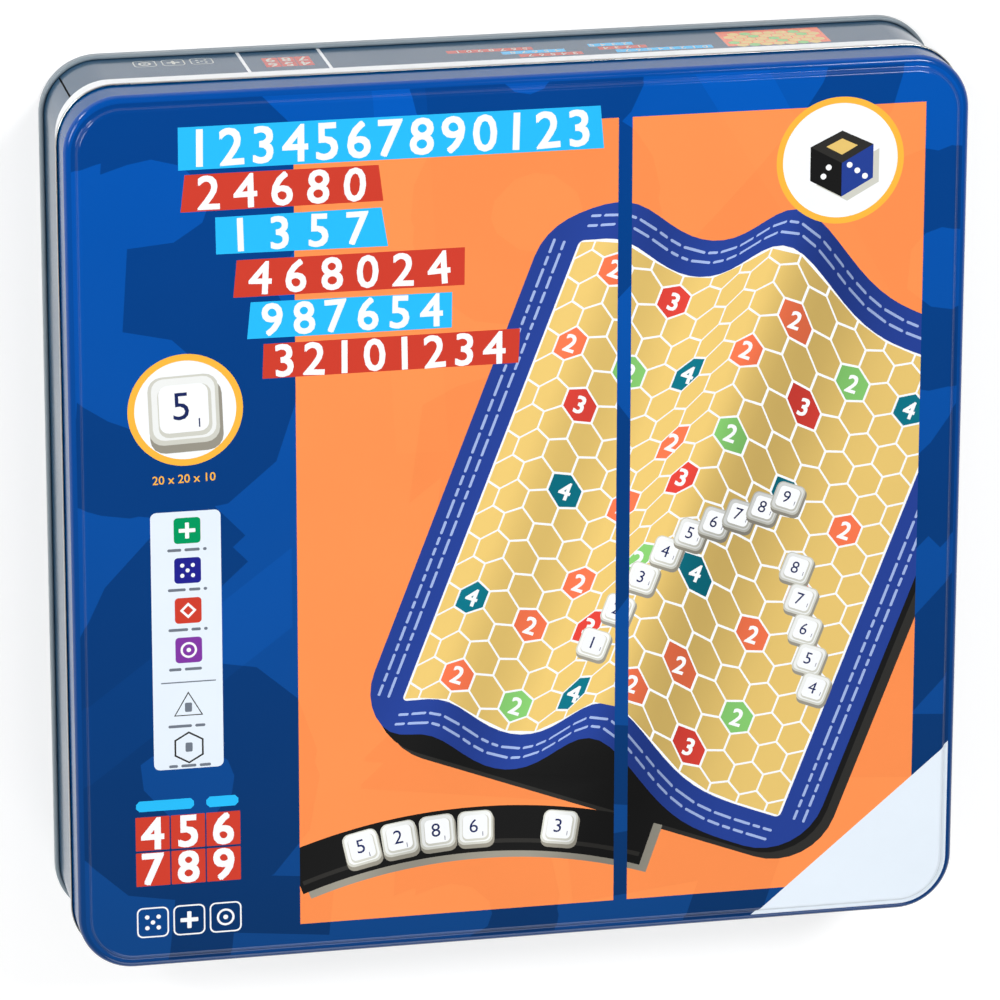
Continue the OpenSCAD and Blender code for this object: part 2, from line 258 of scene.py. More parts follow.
lidTin = makePrintedTin("lidPrint", 0.09, 0.15)
skirtTin = makePrintedTin("skirtPrint", 0.12, 0.2, 0.1)
wallTin = makePrintedTin("wallPrint", 0.12, 0.2)
baseTin = makePrintedTin("basePrint", 0.28, 0.4)
bareTin = makeBareTin()
seamShade = makeJoint()
tilePlastic = makePlastic("tilePlastic", 0.2, 0.32, 1100, 0.15, 0.08, IOR=1.52, Subsurface_Weight=0.08,
                          Subsurface_Scale=0.002)
rackPlastic = makePlastic("rackPlastic", 0.26, 0.4, 1500, 0.5, 0.2, shade(30, 30, 31), IOR=1.5)
trayPlastic = makePlastic("trayPlastic", 0.3, 0.46, 700, 0.25, 0.16, shade(34, 34, 36), IOR=1.54)
matFoam = makePlastic("matFoam", 0.75, 0.9, 1300, 0.9, 0.5, shade(30, 30, 32))
matCloth = makeCloth()
paper = makePaper()
print("materials made")


# Meshes are collected in mm: points with normals, faces with one finish and an ink for each corner
def newShape():
    return {"points": [], "normals": [], "faces": [], "colours": [], "finishes": []}


def addFace(shape, corners, colours, finish=0, flip=False):
    if isinstance(colours, tuple):
        colours = [colours] * len(corners)
    shape["faces"].append(corners[::-1] if flip else corners)
    shape["colours"] += colours[::-1] if flip else colours
    shape["finishes"].append(finish)


def addPoint(shape, point, normal):
    shape["points"].append(point)
    shape["normals"].append(normal)
    return len(shape["points"]) - 1


def buildPiece(name, shape, finishes, body, slotName, *standsFor):
    mesh = bpy.data.meshes.new(name)
    mesh.from_pydata([Vector(p) * mm for p in shape["points"]], [], shape["faces"])
    for finish in finishes:
        mesh.materials.append(finish)
    mesh.polygons.foreach_set("material_index", shape["finishes"])
    mesh.polygons.foreach_set("use_smooth", [True] * len(shape["faces"]))
    ink = mesh.color_attributes.new("ink", "FLOAT_COLOR", "CORNER")
    ink.data.foreach_set("color", [v for colour in shape["colours"] for v in (*colour, 1)])
    mesh.normals_split_custom_set_from_vertices([Vector(n).normalized() for n in shape["normals"]])
    piece = bpy.data.objects.new(name, mesh)
    bpy.context.scene.collection.objects.link(piece)
    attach(piece, body)
    if standsFor:
        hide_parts(*standsFor)
    print("built", name, len(shape["faces"]), "faces")
    return piece


# Round a rounded rectangle: a point on its edge and the outward direction there, four corners in turn
def ringStations(halfX, halfY, radius, steps=14, cx=0, cy=0, turn=0):
    corners = [(halfX - radius, halfY - radius), (radius - halfX, halfY - radius),
               (radius - halfX, radius - halfY), (halfX - radius, radius - halfY)]
    c, s = math.cos(math.radians(turn)), math.sin(math.radians(turn))
    stations = []
    for quarter, (x, y) in enumerate(corners):
        for i in range(steps + 1):
            a = math.radians(90 * (quarter + i / steps))
            px, py, dx, dy = x + radius * math.cos(a), y + radius * math.sin(a), math.cos(a), math.sin(a)
            stations.append((cx + px * c - py * s, cy + px * s + py * c, dx * c - dy * s, dx * s + dy * c))
    return stations


# Sweeps a section of (x outwards, z, normal x, normal z) round the stations
def addSweep(shape, stations, section, colourAt, finish=0, flip=False, skip=None):
    first, count = len(shape["points"]), len(section)
    for px, py, dx, dy in stations:
        for x, z, nx, nz in section:
            addPoint(shape, (px + dx * x, py + dy * x, z), (dx * nx, dy * nx, nz))
    for s in range(len(stations)):
        for i in range(count - 1):
            if skip and skip(s, i):
                continue
            a, b = first + s * count + i, first + (s + 1) % len(stations) * count + i
            corners = [a, b, b + 1, a + 1]
            middle = sum((Vector(shape["points"][c]) for c in corners), Vector()) / 4
            addFace(shape, corners, [colourAt(middle, shape["points"][c]) for c in corners], finish, flip)


def addCap(shape, stations, x, z, up, colour, finish=0):
    corners = [addPoint(shape, (px + dx * x, py + dy * x, z), (0, 0, up)) for px, py, dx, dy in stations]
    addFace(shape, corners, colour, finish, up < 0)


# Both faces of a bent sheet. A bend is (centre x, centre z, middle radius, first angle, last angle)
def bentSheet(bends, thickness, fineness=9):
    faces = []
    for side in (1, -1):
        face = []
        for cx, cz, radius, start, end in bends:
            way = -side if end < start else side
            r = radius + way * thickness / 2
            count = math.ceil(abs(end - start) / fineness)
            for i in range(count + 1):
                a = math.radians(start + (end - start) * i / max(count, 1))
                c, s = math.cos(a), math.sin(a)
                face.append((cx + r * c, cz + r * s, way * c, way * s))
        faces.append(face)
    return faces


# A line with rounded corners (x, z, radius), as a section whose outside is on its right
def filletLine(corners, steps=4):
    section = []
    for i, (x, z, radius) in enumerate(corners):
        ways = []
        for j in (i - 1, i):
            if 0 <= j < len(corners) - 1:
                here, after = corners[j], corners[j + 1]
                ways.append(Vector((after[0] - here[0], after[1] - here[1])).normalized())
        if len(ways) == 1 or radius == 0:
            section += [(x, z, way.y, -way.x) for way in ways]
            continue
        before, after = ways
        turn = math.atan2(before.x * after.y - before.y * after.x, before.dot(after))
        back = radius * math.tan(abs(turn) / 2)
        sign = 1 if turn > 0 else -1
        centre = Vector((x, z)) - before * back + Vector((-before.y, before.x)) * sign * radius
        for k in range(steps + 1):
            a = turn * k / steps
            c, s = math.cos(a), math.sin(a)
            first = Vector((before.y, -before.x))
            normal = Vector((first.x * c - first.y * s, first.x * s + first.y * c))
            spot = centre + normal * sign * radius
            section.append((spot.x, spot.y, normal.x, normal.y))
    return section


# Flat outlines for the print
def polar(cx, cy, radius, degrees):
    a = math.radians(degrees)
    return cx + radius * math.cos(a), cy + radius * math.sin(a)


def cutUp(a, b, pieces):
    # the first end and the inner points of a line cut into equal pieces
    dx, dy = b[0] - a[0], b[1] - a[1]
    return [(a[0] + dx * k / pieces, a[1] + dy * k / pieces) for k in range(pieces)]


def roundedBox(cx, cy, width, height, radius, turn=0, steps=4):
    return [(x, y) for x, y, dx, dy in ringStations(width / 2, height / 2, radius, steps, cx, cy, turn)]


def disc(cx, cy, radius, steps=48):
    return [(cx + radius * math.cos(math.tau * i / steps), cy + radius * math.sin(math.tau * i / steps))
            for i in range(steps)]


def ringBand(cx, cy, outer, inner, start, end, steps=40):
    arc = [start + (end - start) * i / steps for i in range(steps + 1)]
    return [polar(cx, cy, outer, a) for a in arc] + [polar(cx, cy, inner, a) for a in reversed(arc)]


def signedArea(points):
    # more than zero where the outline runs anticlockwise
    return sum(a[0] * b[1] - b[0] * a[1] for a, b in zip(points, points[1:] + points[:1])) / 2


glyphs = {}


def glyphFaces(text):
    # faces of a word in the built-in font, centred and one unit high
    if text not in glyphs:
        curve = bpy.data.curves.new("glyph", "FONT")
        curve.body, curve.resolution_u = text, 3
        holder = bpy.data.objects.new("glyph", curve)
        mesh = bpy.data.meshes.new_from_object(holder)
        spots = [v.co.xy for v in mesh.vertices]
        low = Vector((min(p.x for p in spots), min(p.y for p in spots)))
        high = Vector((max(p.x for p in spots), max(p.y for p in spots)))
        middle, height = (low + high) / 2, high.y - low.y
        faces = [[(spots[i] - middle) / height for i in face.vertices] for face in mesh.polygons]
        glyphs[text] = [face for face in faces if signedArea(face) > 5e-5 * (face[0] - face[1]).length]
        bpy.data.objects.remove(holder)
        bpy.data.meshes.remove(mesh)
        bpy.data.curves.remove(curve)
    return glyphs[text]


# A mark is (outline, ink, kind); later marks lie on top
def addMark(marks, outline, ink, kind=""):
    marks.append((outline, ink, kind))


def addBox(marks, ink, *box, kind=""):
    addMark(marks, roundedBox(*box), ink, kind)


def addText(marks, text, cx, cy, height, ink, turn=0, bold=0.0, kind=""):
    # bold letters are the same letter stamped four times, a little apart
    c, s = math.cos(math.radians(turn)) * height, math.sin(math.radians(turn)) * height
    stamps = [(i * bold, j * bold) for i in (-1, 1) for j in (-1, 1)] if bold else [(0, 0)]
    for dx, dy in stamps:
        for face in glyphFaces(text):
            spots = [(p.x + dx, p.y + dy) for p in face]
            addMark(marks, [(cx + x * c - y * s, cy + x * s + y * c) for x, y in spots], ink, kind)


def holds(points, x, y):
    # whether a place lies within an outline
    inside = False
    for (ax, ay), (bx, by) in zip(points, points[1:] + points[:1]):
        if (ay > y) != (by > y) and x < ax + (bx - ax) * (y - ay) / (by - ay):
            inside = not inside
    return inside


# Cuts an outline along all marks, places it in space, and inks each triangle with the mark that is on top
def addPrint(shape, outline, marks, place, inkAt, loops=(), lines=(), finish=0, flip=False):
    corners, outlines, edges = [], [], []
    for points in [outline] + [mark[0] for mark in marks]:
        run = list(range(len(corners), len(corners) + len(points)))
        outlines.append(run if signedArea(points) > 0 else run[::-1])
        corners += [Vector(p) for p in points]
    for loop in loops:
        edges += [(len(corners) + i, len(corners) + (i + 1) % len(loop)) for i in range(len(loop))]
        corners += [Vector(p) for p in loop]
    for line in lines:
        edges.append((len(corners), len(corners) + 1))
        corners += [Vector(p) for p in line]
    found = delaunay_2d_cdt(corners, edges, outlines, 1, 1e-5)
    flat, triangles, sources = found[0], found[2], found[5]
    placed = {}
    for triangle, cover in zip(triangles, sources):
        if 0 not in cover:
            continue
        for i in triangle:
            if i not in placed:
                placed[i] = addPoint(shape, *place(flat[i].x, flat[i].y))
        x, y = sum(flat[i].x for i in triangle) / 3, sum(flat[i].y for i in triangle) / 3
        # thin marks can claim more than they cover, so each claim is tested
        cover = [i for i in cover if i and holds(marks[i - 1][0], x, y)]
        colours = [inkAt(marks, cover, flat[i].x, flat[i].y) for i in triangle]
        addFace(shape, [placed[i] for i in triangle], colours, finish, flip)


def plainInk(name):
    return lambda middle, corner: inks[name]


def topMark(marks, cover, kinds=("", "picture")):
    return max((i for i in cover if marks[i - 1][2] in kinds), default=0)


def markInk(ground):
    # the ink of the mark on top, and the ground's where there is none
    def inkAt(marks, cover, x, y):
        top = topMark(marks, cover)
        return inks[marks[top - 1][1] if top else ground]
    return inkAt


# Tin: sizes as in the part's source, x of a section measured outwards from the skirt
tin = {"half": 120, "corner": 15, "height": 45, "sheet": 0.35, "cornerSteps": 16}
around = ringStations(tin["half"], tin["half"], tin["corner"], tin["cornerSteps"])
print("outline of the tin ready")

# Lid
lid = {"rimZ": 43.8, "skirtZ": 32.0, "roll": 0.5, "rim": 1.8, "rimFlat": 0.6, "step": 1.0,
       "toneDark": 0.6, "tonePale": 1.14, "rimShade": 0.8,
       "leftPanel": (-60.6, 25.2), "rightPanel": (28.9, 107.8), "panelFront": -110.4, "panelBack": 107.9}
lidRise = tin["height"] - lid["rimZ"]
stepTurn = math.degrees(math.acos(1 - lidRise / (2 * lid["step"])))
stepStart = -(lid["rim"] + lid["rimFlat"])
stepEnd = stepStart - 2 * lid["step"] * math.sin(math.radians(stepTurn))
lidOuter, lidInner = bentSheet([
    (lid["roll"] - tin["sheet"], lid["skirtZ"] + lid["roll"], lid["roll"] - tin["sheet"] / 2, 430, 180),
    (-lid["rim"], lid["rimZ"] - lid["rim"], lid["rim"] - tin["sheet"] / 2, 0, 90),
    (stepStart, lid["rimZ"] - tin["sheet"] / 2 + lid["step"], lid["step"], -90, -90 - stepTurn),
    (stepEnd, tin["height"] - tin["sheet"] / 2 - lid["step"], lid["step"], 90 - stepTurn, 90)], tin["sheet"])


def groundBlue(y):
    # the lid's blue, darker towards the front edge
    share = min(max((y + 120) / 240, 0), 1)
    return tuple(f + (b - f) * share for f, b in zip(inks["groundFront"], inks["groundBack"]))


# The picture's board: a sheet with two waves, seen from above
board = {"turn": -21, "centre": (43, -8), "halfU": 66, "halfV": 77, "border": 11, "corner": 17, "cell": 4.9,
         "waves": ((5, 18, 17), (-43, 5, 11)), "shade": 0.34}
boardCos, boardSin = math.cos(math.radians(board["turn"])), math.sin(math.radians(board["turn"]))


def boardRise(u):
    rise = slope = 0
    for at, high, spread in board["waves"]:
        part = high * math.exp(-((u - at) / spread) ** 2)
        rise, slope = rise + part, slope - 2 * (u - at) / spread ** 2 * part
    return rise, slope


def boardPoint(u, v, lift=1):
    # from the board's own axes to the lid; the waves lift it up the picture
    x, y = board["centre"]
    return (x + u * boardCos - v * boardSin, y + u * boardSin + v * boardCos + lift * boardRise(u)[0])


def boardLight(x, y):
    # brightness from the slope of the waves at a place on the lid
    u = slope = rise = 0
    for attempt in range(6):
        u = (x - board["centre"][0]) * boardCos + (y - rise - board["centre"][1]) * boardSin
        rise, slope = boardRise(u)
    return min(max(1 + slope * board["shade"], 0.62), 1.12)


def lidInk(marks, cover, x, y):
    panels = [i for i in cover if marks[i - 1][2] == "panel"]
    top = topMark(marks, cover, ("", "picture", "panel") if panels else ("",))
    name = marks[top - 1][1] if top else "ground"
    if name not in ("ground", "orange"):
        light = boardLight(x, y) if marks[top - 1][2] == "picture" and name != "white" else 1
        return tuple(min(c * light, 1) for c in inks[name])
    colour = inks["orange"] if name == "orange" else groundBlue(y)
    for tone, share in (("dark", lid["toneDark"]), ("pale", lid["tonePale"])):
        if any(marks[i - 1][2] == tone for i in cover):
            share = share if name == "ground" else 1 + (share - 1) * 0.16
            colour = tuple(c * share for c in colour)
    return colour


def onLid(x, y):
    return (x, y)


def hexagon(u, v, size, place=onLid, limits=None):
    points = [polar(u, v, size, 30 + 60 * i) for i in range(6)]
    if limits:
        points = clipToBox(points, *limits)
    return [place(*point) for point in points]


def clipToBox(points, halfU, halfV):
    # what of an outline lies within a rectangle about the centre
    for axis, sign, limit in ((0, 1, halfU), (0, -1, halfU), (1, 1, halfV), (1, -1, halfV)):
        kept = []
        for a, b in zip(points, points[1:] + points[:1]):
            before, after = limit - sign * a[axis], limit - sign * b[axis]
            if before >= 0:
                kept.append(a)
            if before * after < 0:
                share = before / (before - after)
                kept.append((a[0] + (b[0] - a[0]) * share, a[1] + (b[1] - a[1]) * share))
        points = kept
    return points


def honeycomb(halfU, halfV, size):
    # rows, columns and centres of the cells that cover a rectangle
    cells = []
    across, along = size * math.sqrt(3), size * 1.5
    for row in range(-int(halfV / along + 1), int(halfV / along) + 2):
        for column in range(-int(halfU / across) - 2, int(halfU / across) + 2):
            u, v = (column + (row % 2) / 2) * across, row * along
            if abs(u) < halfU + across * 0.3 and abs(v) < halfV + size * 0.4:
                cells.append((row, column, u, v))
    return cells


# Coloured cells come in a plain repeating order
cellInks = {0: ("scarlet", "3"), 7: ("coral", "2"), 13: ("green", "2"), 19: ("teal", "4"),
            25: ("coral", "2")}


def addHoneycomb(marks, halfU, halfV, size, gap, place, turn, kind="", plain="tan"):
    for row, column, u, v in honeycomb(halfU, halfV, size):
        inside = abs(u) + size < halfU and abs(v) + size < halfV
        found = cellInks.get((row * 5 + column * 3) % 31) if inside else None
        cell = hexagon(u, v, size - gap, place, (halfU, halfV))
        addMark(marks, cell, found[0] if found else plain, kind)
        if found:
            addText(marks, found[1], *place(u, v), size * 0.95, "white", turn, 0.03, kind)


def addDashes(marks, x0, y0, x1, y1, height, ink, seed, kind="", place=onLid):
    # a broken line of short bars, where the real thing has small words
    random.seed(seed)
    length = math.hypot(x1 - x0, y1 - y0)
    turn = math.degrees(math.atan2(y1 - y0, x1 - x0))
    at = 0
    while at < length:
        bar = min(random.uniform(1.6, 5.2) * height * 1.6, length - at)
        middle = (at + bar / 2) / length
        if bar > height:
            x, y = x0 + (x1 - x0) * middle, y0 + (y1 - y0) * middle
            points = roundedBox(x, y, bar, height, height * 0.3, turn, 1)
            addMark(marks, [place(*point) for point in points], ink, kind)
        at += bar + height * 1.1


# A letter tile seen from above, in shares of its side: offset, width, corner and ink of each step
tileSteps = ((0.03, -0.1, 1.04, 0.22, "stone"), (0, 0, 1, 0.2, "bone"), (0, 0.02, 0.9, 0.17, "ivory"),
             (0.015, -0.015, 0.76, 0.15, "bone"), (0, 0.02, 0.7, 0.13, "white"))


def addPrintedTile(marks, x, y, side, turn, text, kind, number):
    for dx, dy, width, corner, ink in tileSteps:
        addBox(marks, ink, x + side * dx, y + side * dy, side * width, side * width, side * corner, turn,
               kind=kind)
    addText(marks, text, x - side * 0.04, y + side * 0.05, side * 0.4, "letter", turn, 0, kind)
    addText(marks, number, x + side * 0.22, y - side * 0.2, side * 0.13, "letter", turn, 0, kind)


def boardOutline(inset, corner, lift=1, shift=(0, 0)):
    # rounded outline of the board, with enough points to follow the waves
    ring = roundedBox(0, 0, 2 * (board["halfU"] - inset), 2 * (board["halfV"] - inset), corner, 0, 8)
    points = []
    for a, b in zip(ring, ring[1:] + ring[:1]):
        points += cutUp(a, b, max(int(abs(b[0] - a[0]) / 3), 1))
    placed = [boardPoint(u, v, lift) for u, v in points]
    return [(x + shift[0], y + shift[1]) for x, y in placed]


def boardLines():
    # straight cuts along the board, so that its shading can change across it
    halfU, halfV = board["halfU"], board["halfV"]
    return [(boardPoint(u, -halfV), boardPoint(u, halfV)) for u in range(4 - halfU, halfU, 3)]


def drawBoard(marks):
    halfU, halfV, corner, border = (board[key] for key in ("halfU", "halfV", "corner", "border"))
    for shift, ink in (((3.2, -3.4), "coal"), ((1.2, -1.4), "black")):
        addMark(marks, boardOutline(0, corner, 0, shift), ink, "picture")
    # dark openings below the waves at the near edge
    arch = [corner - halfU + k * (halfU - corner) * 2 / 40 for k in range(41)]
    opening = [boardPoint(u, -halfV, 0) for u in arch] + [boardPoint(u, -halfV) for u in reversed(arch)]
    addMark(marks, opening, "black", "picture")
    addMark(marks, boardOutline(0, corner), "navy", "picture")
    halfU, halfV = halfU - border, halfV - border
    addMark(marks, boardOutline(border - 0.6, 1.5), "white", "picture")
    for side in (1, -1):
        for out, seed in ((4.7, 3), (7.5, 8)):
            v, u = side * (halfV + out), side * (halfU + out)
            addDashes(marks, -halfU, v, halfU, v, 0.75, "pale", seed, "picture", boardPoint)
            addDashes(marks, u, -halfV, u, halfV, 0.75, "pale", seed + side, "picture", boardPoint)
    addHoneycomb(marks, halfU, halfV, board["cell"], 0.32, boardPoint, board["turn"], "picture")
    # numbered tiles in a long run and a short one
    across, along = board["cell"] * math.sqrt(3), board["cell"] * 1.5
    runs = [(-1 + k / 2, k - 6, k + 1) for k in range(9)]
    runs += [(3.5 + k / 2, 1 - k, 9 - k) for k in range(1, 6)]
    for column, row, number in runs:
        spot = boardPoint(column * across, row * along)
        addPrintedTile(marks, *spot, 8.2, board["turn"], str(number), "picture", "1")


# The picture's tile holder: part of a ring, its tiles set out by angle
holder = {"x": -12, "y": -233, "radius": 146, "digits": "52863", "first": 102.5, "step": 4.05, "gap": 5,
          "tile": 9.6}


def drawHolder(marks):
    cx, cy, radius = holder["x"], holder["y"], holder["radius"]
    for dx, dy, outer, inner, start, end, ink in ((0.8, -1.4, 7, -7, 109.5, 71, "stone"),
                                                  (0, 0, 6.5, -6.5, 110, 71.5, "black"),
                                                  (0, 0, -3, -4.2, 109.6, 71.9, "coal")):
        band = ringBand(cx + dx, cy + dy, radius + outer, radius + inner, start, end)
        addMark(marks, band, ink, "picture")
    for i, digit in enumerate(holder["digits"]):
        a = holder["first"] - holder["step"] * i - (holder["gap"] if i == 4 else 0)
        spot = polar(cx, cy, radius + 0.6, a)
        addPrintedTile(marks, *spot, holder["tile"], a - 90, digit, "picture", "1")


def drawTones(marks):
    # large plain numerals, one step darker than the ground, and bands one step lighter
    big = [("3", -91, 66, 112, -4), ("6", -92, -46, 104, 5), ("5", -78, -140, 84, -6), ("8", 2, 104, 96, 4),
           ("2", 76, 108, 92, -5), ("9", 116, 40, 104, 4), ("4", 112, -62, 92, -4), ("7", 48, -136, 88, 6),
           ("3", -14, -130, 84, -3), ("2", 2, -20, 110, -8)]
    for text, x, y, height, turn in big:
        addText(marks, text, x, y, height, "ground", turn, 0.035, "dark")
    for band in ([(-40, 121), (-26, 121), (-20, 20), (-34, 20)], [(44, 121), (64, 121), (108, 40), (94, 40)],
                 [(-121, -70), (-121, -48), (-62, -4), (-62, -26)]):
        addMark(marks, band, "ground", "pale")


def drawPlainIcon(marks, x, y, size, ink, which):
    # simple shapes for the small printed squares
    if which == "ring":
        addMark(marks, ringBand(x, y, size / 2, size / 2 - 0.6, 0, 359.9, 24), ink)
        addMark(marks, disc(x, y, size * 0.14, 12), ink)
    elif which == "cross":
        addBox(marks, ink, x, y, size, size * 0.24, 0.2)
        addBox(marks, ink, x, y, size * 0.24, size, 0.2)
    elif which == "kite":
        for reach, colour in ((0.5, ink), (0.3, "red")):
            addMark(marks, [polar(x, y, size * reach, 90 * i) for i in range(4)], colour)
    else:
        for i, j in ((-1, -1), (1, -1), (-1, 1), (1, 1), (0, 0)):
            addMark(marks, disc(x + i * size * 0.32, y + j * size * 0.32, size * 0.13, 10), ink)


def addFramedIcon(marks, x, y, frames, size, ink, which):
    for side, corner, colour in frames:
        addBox(marks, colour, x, y, side, side, corner)
    drawPlainIcon(marks, x, y, size, ink, which)


def drawInfoStrip(marks):
    addBox(marks, "frost", -90.1, -27.9, 18.6, 71.6, 1.6)
    for y, ink, which in ((2.6, "emerald", "cross"), (-8.4, "indigo", "pips"), (-19.5, "red", "kite"),
                          (-30.5, "violet", "ring")):
        addFramedIcon(marks, -89.7, y, [(7.1, 1, ink)], 4.4, "white", which)
        addDashes(marks, -95, y - 5.3, -84.6, y - 5.3, 0.8, "grey", int(50 - y))
    addBox(marks, "grey", -89.9, -39.4, 14.6, 0.35, 0.1)
    for y, angles in ((-45.9, (90, 210, 330)), (-57.1, (30, 90, 150, 210, 270, 330))):
        for step, ink in ((0, "coal"), (0.55, "frost")):
            reach = 8.2 * 0.55 - step
            addMark(marks, [polar(-90, y - 0.7, reach, a) for a in angles], ink)
        addBox(marks, "grey", -90, y - 0.6, 1.9, 2.6, 0.4)
        addDashes(marks, -95.4, y - 5.8, -84.2, y - 5.8, 0.8, "grey", int(9 - y))


def drawBadges(marks):
    # gold-ringed rounds: a tile at the left, a die at the right
    addMark(marks, disc(-89.7, 35.6, 15.2, 72), "gold")
    addMark(marks, disc(-89.7, 35.6, 13.4, 72), "white")
    addPrintedTile(marks, -90.1, 35.7, 18.6, 2, "5", "", "1")
    addText(marks, "20 x 20 x 10", -90.3, 16.9, 2.3, "gold", 1, 0.012)
    addMark(marks, disc(84.8, 93.2, 17.2, 80), "gold")
    addMark(marks, disc(84.8, 93.2, 15.5, 80), "white")
    x, y, s, c = 85.2, 91.8, 6.3, 0.5
    back, near, foot = (x, y + s * 1.5), (x, y + s * 0.1), (x, y - s * 1.35)
    west, east = (x - s * 1.35, y + s * 0.85), (x + s * 1.35, y + s * 0.85)
    westFoot, eastFoot = (x - s * 1.35, y - s * 0.6), (x + s * 1.35, y - s * 0.6)
    top = [back, east, near, west]
    addMark(marks, [(px + 1.6, py - 1.2) for px, py in (westFoot, foot, eastFoot, east)], "bone")
    addMark(marks, top, "coal")
    addMark(marks, [west, near, foot, westFoot], "black")
    addMark(marks, [near, east, eastFoot, foot], "navy")
    addMark(marks, [(x + (px - x) * c, y + s * 0.82 + (py - y - s * 0.82) * c) for px, py in top], "tan")
    for k in (-0.35, 0.35):
        addMark(marks, disc(x - s * 0.67 + k * 2, y - s * 0.25 + k * 3.4, 0.8, 14), "white")
    for k in (-1, 0, 1):
        addMark(marks, disc(x + s * 0.67 + k * 2.1, y - s * 0.25 - k * 1.6, 0.8, 14), "white")


def drawTitles(marks):
    # six staggered strips with plain numerals
    strips = [((-91.2, 20.8), (111.4, 100.0), "cyan", "1234567890123", 9.6),
              ((-89.6, -37.8), (98.7, 88.8), "red", "24680", 8.8),
              ((-81.8, -36.8), (87.0, 77.1), "cyan", "1357", 8.6),
              ((-76.3, -15.8), (75.2, 65.2), "red", "468024", 8.6),
              ((-72.8, -18.3), (63.7, 53.8), "cyan", "987654", 8.6),
              ((-69.5, -1.8), (52.2, 42.8), "red", "32101234", 8.6)]
    for number, ((x0, x1), (y1, y0), ink, text, height) in enumerate(strips):
        random.seed(number)
        start = (x0 + random.uniform(-0.8, 0.8), y0)
        ends = [(x1 + random.uniform(-1, 1), y + random.uniform(-0.4, 0.4)) for y in (y0, y1)]
        addMark(marks, [start, *ends, (x0 + 0.6, y1)], ink)
        step = (x1 - x0 - 4) / len(text)
        for i, digit in enumerate(text):
            x = x0 + 2 + step * (i + 0.5)
            addText(marks, digit, x, (y0 + y1) / 2, height, "white", random.uniform(-3, 3), 0.02)


def drawLowerLeft(marks):
    addDashes(marks, -104.4, -73.6, -77, -73.6, 3.0, "cyan", 11)
    for row, text in enumerate(("456", "789")):
        y = -81.4 - row * 10.1
        for column, digit in enumerate(text):
            x = -100.1 + column * 9.5
            addBox(marks, "red", x, y, 9.1, 9.5, 0.2)
            addText(marks, digit, x, y, 8.6, "white", 0, 0.03)
    for x, which in ((-100.4, "pips"), (-90.6, "cross"), (-80.8, "ring")):
        addFramedIcon(marks, x, -106.7, [(8.6, 1.6, "white"), (7.8, 1.3, "ground")], 4.8, "white", which)


def lidMarks():
    marks = []
    front, back = lid["panelFront"], lid["panelBack"]
    drawTones(marks)
    for x0, x1 in (lid["leftPanel"], lid["rightPanel"]):
        addMark(marks, [(x0, front), (x1, front), (x1, back), (x0, back)], "orange", "panel")
    drawBoard(marks)
    drawHolder(marks)
    addMark(marks, [(60.5, -121), (121, -121), (121, -69.5)], "frost")
    drawTitles(marks)
    drawBadges(marks)
    drawInfoStrip(marks)
    drawLowerLeft(marks)
    return marks


def buildLid():
    shape = newShape()
    rimEnd = next(i for i, p in enumerate(lidOuter) if p[0] <= -lid["rim"] + 1e-6)
    skirtEnd = next(i for i, p in enumerate(lidOuter) if p[1] > lid["rimZ"] - lid["rim"] - 1e-6)
    tone = lid["rimShade"]
    addSweep(shape, around, lidOuter[:skirtEnd + 1], plainInk("skirtBlue"), 2)
    # the rolled top edge of the rim gets the ground blue made darker: painted shade where the edge turns
    # away from the light
    addSweep(shape, around, lidOuter[skirtEnd:rimEnd + 1],
             lambda middle, corner: tuple(c * tone for c in groundBlue(corner[1])))
    top = lidOuter[rimEnd:]

    def place(x, y):
        # height and normal of the lid's top at a point, from its distance to the edge
        ax, ay = abs(x) - tin["half"] + tin["corner"], abs(y) - tin["half"] + tin["corner"]
        if ax > 0 and ay > 0:
            reach = math.hypot(ax, ay)
            out, way = reach - tin["corner"], (ax / reach, ay / reach)
        else:
            out, way = max(ax, ay) - tin["corner"], ((1, 0) if ax > ay else (0, 1))
        if out <= top[-1][0]:
            return (x, y, tin["height"]), (0, 0, 1)
        i = next((k for k in range(1, len(top)) if top[k][0] <= out), len(top) - 1)
        a, b = top[i - 1], top[i]
        share = 0 if a[0] == b[0] else min(max((a[0] - out) / (a[0] - b[0]), 0), 1)
        z, nx, nz = (a[k] + (b[k] - a[k]) * share for k in (1, 2, 3))
        return (x, y, z), (math.copysign(way[0] * nx, x * nx) if way[0] else 0,
                           math.copysign(way[1] * nx, y * nx) if way[1] else 0, nz)

    loops = [[(px + dx * p[0], py + dy * p[0]) for px, py, dx, dy in around] for p in top]
    addPrint(shape, loops[0], lidMarks(), place, lidInk, loops[1:], boardLines())
    addSweep(shape, around, lidInner, plainInk("bone"), 1, True)
    addCap(shape, around, lidInner[-1][0], lidInner[-1][1], -1, inks["bone"], 1)
    buildPiece("tinLid", shape, [lidTin, bareTin, skirtTin], "lid", "lid_print", "lid_shell")


buildLid()

# Body wall: plain round the corners, with a white band below the lid and small marks on the back
wall = {"out": -0.7, "mouthZ": 43.05, "mouth": 0.8, "hook": (-0.475, 0.975, 0.4), "hookEnd": (-0.075, 2.225),
        "bandFoot": 23, "seamTurn": 135, "seamWidth": 0.5}


def wallInk(middle, corner):
    return inks["white"] if middle[2] > wall["bandFoot"] else inks["wallNavy"]


def wallBand():
    foot = wall["bandFoot"]
    return [([(-130, foot), (130, foot), (130, 50), (-130, 50)], "white", "")]


